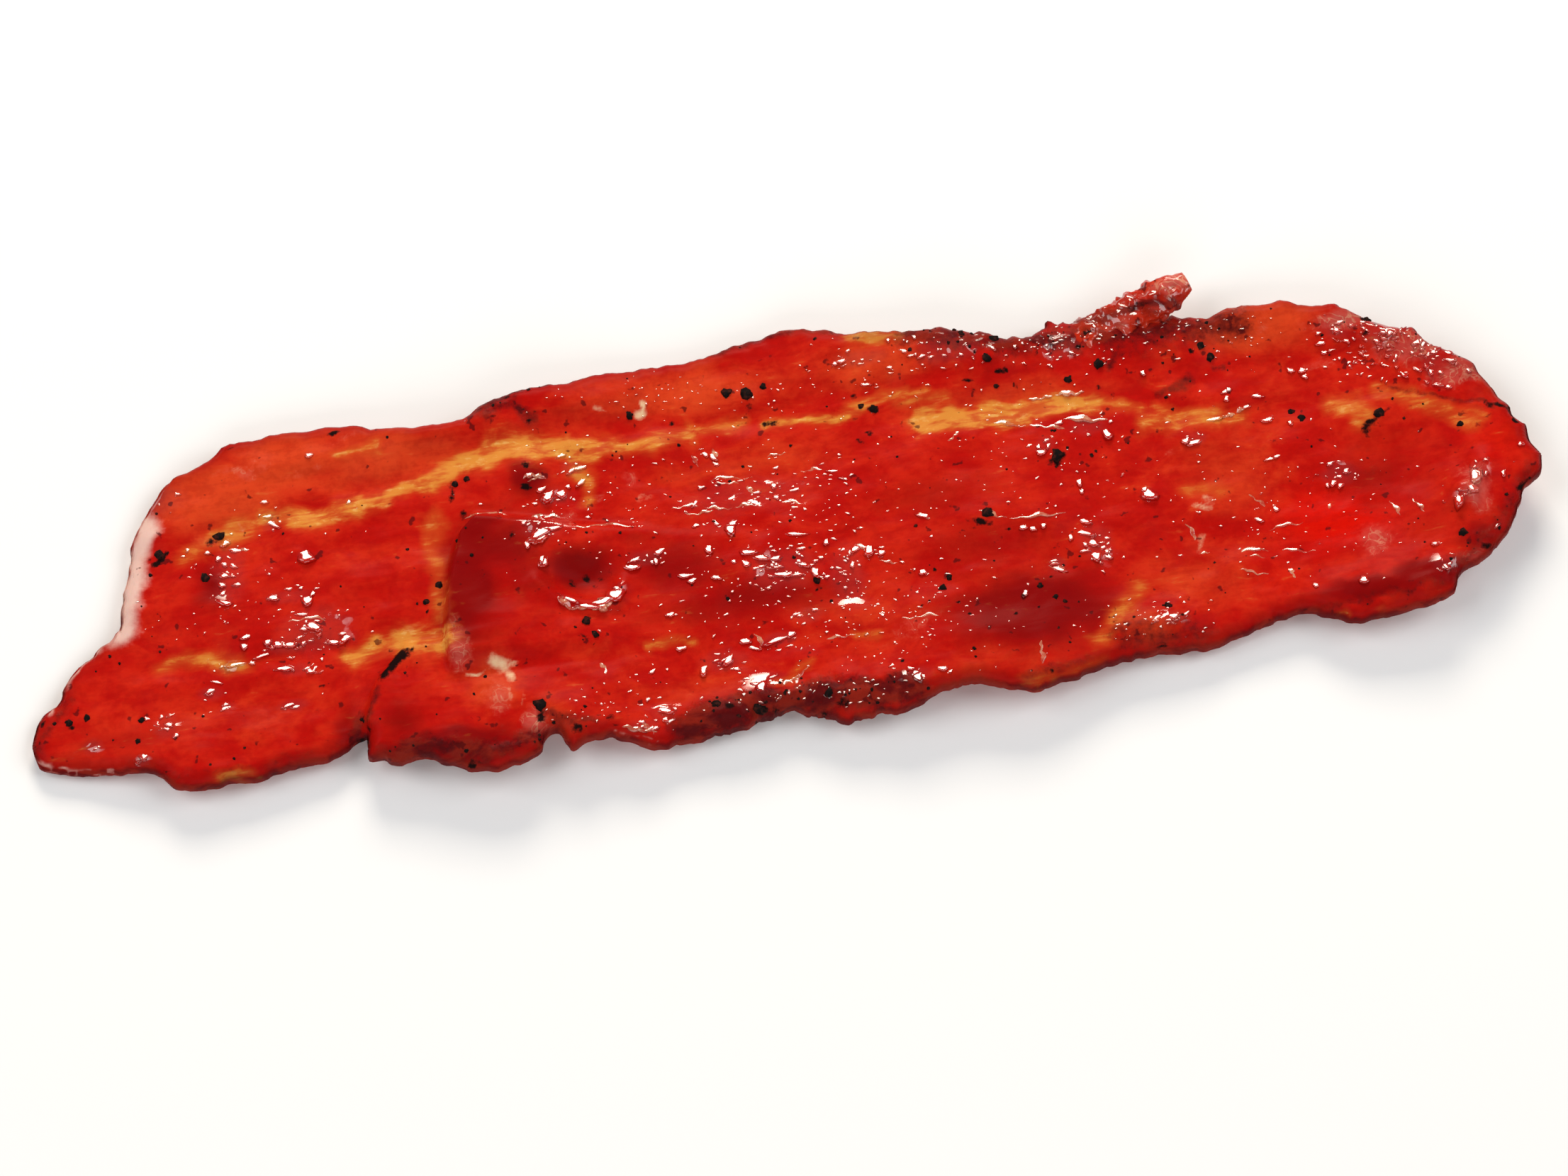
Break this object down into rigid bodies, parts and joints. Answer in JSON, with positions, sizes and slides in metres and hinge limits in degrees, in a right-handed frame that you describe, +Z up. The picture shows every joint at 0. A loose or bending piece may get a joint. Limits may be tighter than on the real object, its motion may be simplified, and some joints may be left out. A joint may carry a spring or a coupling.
{
  "type": "bacon jerky slice",
  "caption": "Long glazed slice of bacon jerky with torn edges, a lifted shred, low folds and waves; lies flat on a plate or board as a piece of prepared food",
  "frame": {"origin": "middle of the footprint's bounding box, on the surface the slice lies on", "axes": "+X along the slice towards its rounded end, +Y across it towards the torn shred, +Z up out of the glazed top"},
  "size_m": [0.18, 0.052, 0.0075],
  "materials": {
    "glazed_meat": "wet, glossy sugar glaze over deep red cured meat with amber fat streaks and burnt edges"
  },
  "bodies": {
    "root": {"jerky_slice": "glazed_meat"}
  },
  "joints": []
}
